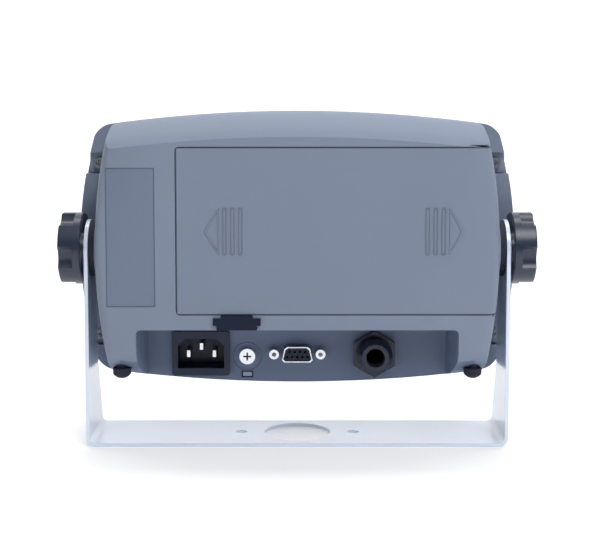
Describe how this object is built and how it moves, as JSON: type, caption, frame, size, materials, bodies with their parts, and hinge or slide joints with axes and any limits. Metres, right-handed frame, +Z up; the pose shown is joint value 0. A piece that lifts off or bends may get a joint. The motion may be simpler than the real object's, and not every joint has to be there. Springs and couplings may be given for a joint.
{
  "type": "weighing indicator",
  "caption": "Weighing indicator with a bowed housing, a sliding battery cover and a rear connector bay, tilting in a bent U bracket with clamping knobs.",
  "frame": {"origin": "on the mounting surface, centre of the bracket's cable hole", "axes": "+X along the indicator towards the side where the battery cover slides out, +Z up, connector side faces -Y and display side faces +Y"},
  "size_m": [0.2518, 0.076, 0.1782],
  "materials": {
    "bracket_paint": "satin white paint",
    "rear_plastic": "fine moulded grain",
    "cover_plastic": "fine moulded grain",
    "front_plastic": "fine moulded grain",
    "black_plastic": "satin",
    "black_rubber": "matte",
    "zinc_steel": "bright zinc",
    "plated_steel": "nickel plate",
    "insert_brass": "turned",
    "cell_can": "plain wrap",
    "overlay_film": "satin film",
    "window_clear": "clear",
    "lcd_glass": "grey-green",
    "light_guide": "milky",
    "board_green": "solder resist",
    "chip_black": "matte",
    "core_steel": "varnished",
    "cap_sleeve": "sleeved can",
    "key_plastic": "satin",
    "ribbon_grey": "matte",
    "pale_plastic": "satin"
  },
  "bodies": {
    "bracket_body": {"bracket": "bracket_paint"},
    "housing_body": {"rear_housing": "rear_plastic", "front_housing": "front_plastic", "housing_seal": "black_rubber", "housing_screws": "zinc_steel", "rubber_feet": "black_rubber", "pivot_inserts": "insert_brass", "friction_discs": "black_rubber", "battery_tray": "rear_plastic", "battery_cells": "cell_can", "battery_springs": "plated_steel", "battery_contacts": "plated_steel", "inlet_body": "black_plastic", "inlet_blades": "plated_steel", "serial_shell": "plated_steel", "serial_insulator": "black_plastic", "serial_jackscrews": "plated_steel", "gland_body": "black_plastic", "gland_nut": "black_plastic", "gland_seal": "black_rubber", "gland_locknut": "black_plastic", "security_screw": "zinc_steel", "seal_insert": "pale_plastic", "front_overlay": "overlay_film", "display_window": "window_clear", "display_glass": "lcd_glass", "display_frame": "black_plastic", "backlight": "light_guide", "main_board": "board_green", "board_screws": "zinc_steel", "processor_chips": "chip_black", "key_switches": "black_plastic", "power_board": "board_green", "power_screws": "zinc_steel", "transformer": "core_steel", "smoothing_capacitor": "cap_sleeve", "buzzer": "chip_black", "ribbon_cable": "ribbon_grey"},
    "washer_left_body": {"washer_left": "zinc_steel"},
    "knob_left_body": {"knob_left": "black_plastic", "stud_left": "zinc_steel"},
    "washer_right_body": {"washer_right": "zinc_steel"},
    "knob_right_body": {"knob_right": "black_plastic", "stud_right": "zinc_steel"},
    "cover_body": {"battery_cover": "cover_plastic"},
    "latch_body": {"battery_latch": "black_plastic"},
    "power_key_body": {"key_power": "key_plastic"},
    "zero_key_body": {"key_zero": "key_plastic"},
    "tare_key_body": {"key_tare": "key_plastic"},
    "print_key_body": {"key_print": "key_plastic"}
  },
  "joints": [
    {"name": "housing_tilt", "type": "hinge", "parent": "bracket_body", "child": "housing_body", "pos_m": [0, -0.0085, 0.105], "axis": [1, 0, 0], "range_deg": [0, 180]},
    {"name": "knob_left_turn", "type": "hinge", "parent": "washer_left_body", "child": "knob_left_body", "pos_m": [-0.115, -0.0085, 0.105], "axis": [-1, 0, 0], "range_deg": [0, 720]},
    {"name": "knob_left_travel", "type": "slide", "parent": "housing_body", "child": "washer_left_body", "axis": [-1, 0, 0], "range_m": [0, 0.0025]},
    {"name": "knob_right_turn", "type": "hinge", "parent": "washer_right_body", "child": "knob_right_body", "pos_m": [0.115, -0.0085, 0.105], "axis": [1, 0, 0], "range_deg": [0, 720]},
    {"name": "knob_right_travel", "type": "slide", "parent": "housing_body", "child": "washer_right_body", "axis": [1, 0, 0], "range_m": [0, 0.0025]},
    {"name": "cover_slide", "type": "slide", "parent": "housing_body", "child": "cover_body", "axis": [1, 0, 0], "range_m": [0, 0.168]},
    {"name": "latch_press", "type": "slide", "parent": "housing_body", "child": "latch_body", "axis": [0, 0, -1], "range_m": [0, 0.002], "stiffness_N_per_m": 500, "springref_m": -0.001},
    {"name": "power_key_press", "type": "slide", "parent": "housing_body", "child": "power_key_body", "axis": [0, -1, 0], "range_m": [0, 0.001], "stiffness_N_per_m": 1500, "springref_m": -0.0005},
    {"name": "zero_key_press", "type": "slide", "parent": "housing_body", "child": "zero_key_body", "axis": [0, -1, 0], "range_m": [0, 0.001], "stiffness_N_per_m": 1500, "springref_m": -0.0005},
    {"name": "tare_key_press", "type": "slide", "parent": "housing_body", "child": "tare_key_body", "axis": [0, -1, 0], "range_m": [0, 0.001], "stiffness_N_per_m": 1500, "springref_m": -0.0005},
    {"name": "print_key_press", "type": "slide", "parent": "housing_body", "child": "print_key_body", "axis": [0, -1, 0], "range_m": [0, 0.001], "stiffness_N_per_m": 1500, "springref_m": -0.0005}
  ],
  "couplings": [
    {"joint": "knob_left_travel", "follows": "knob_left_turn", "m_per_rad": 0.0001989},
    {"joint": "knob_right_travel", "follows": "knob_right_turn", "m_per_rad": 0.0001989}
  ]
}
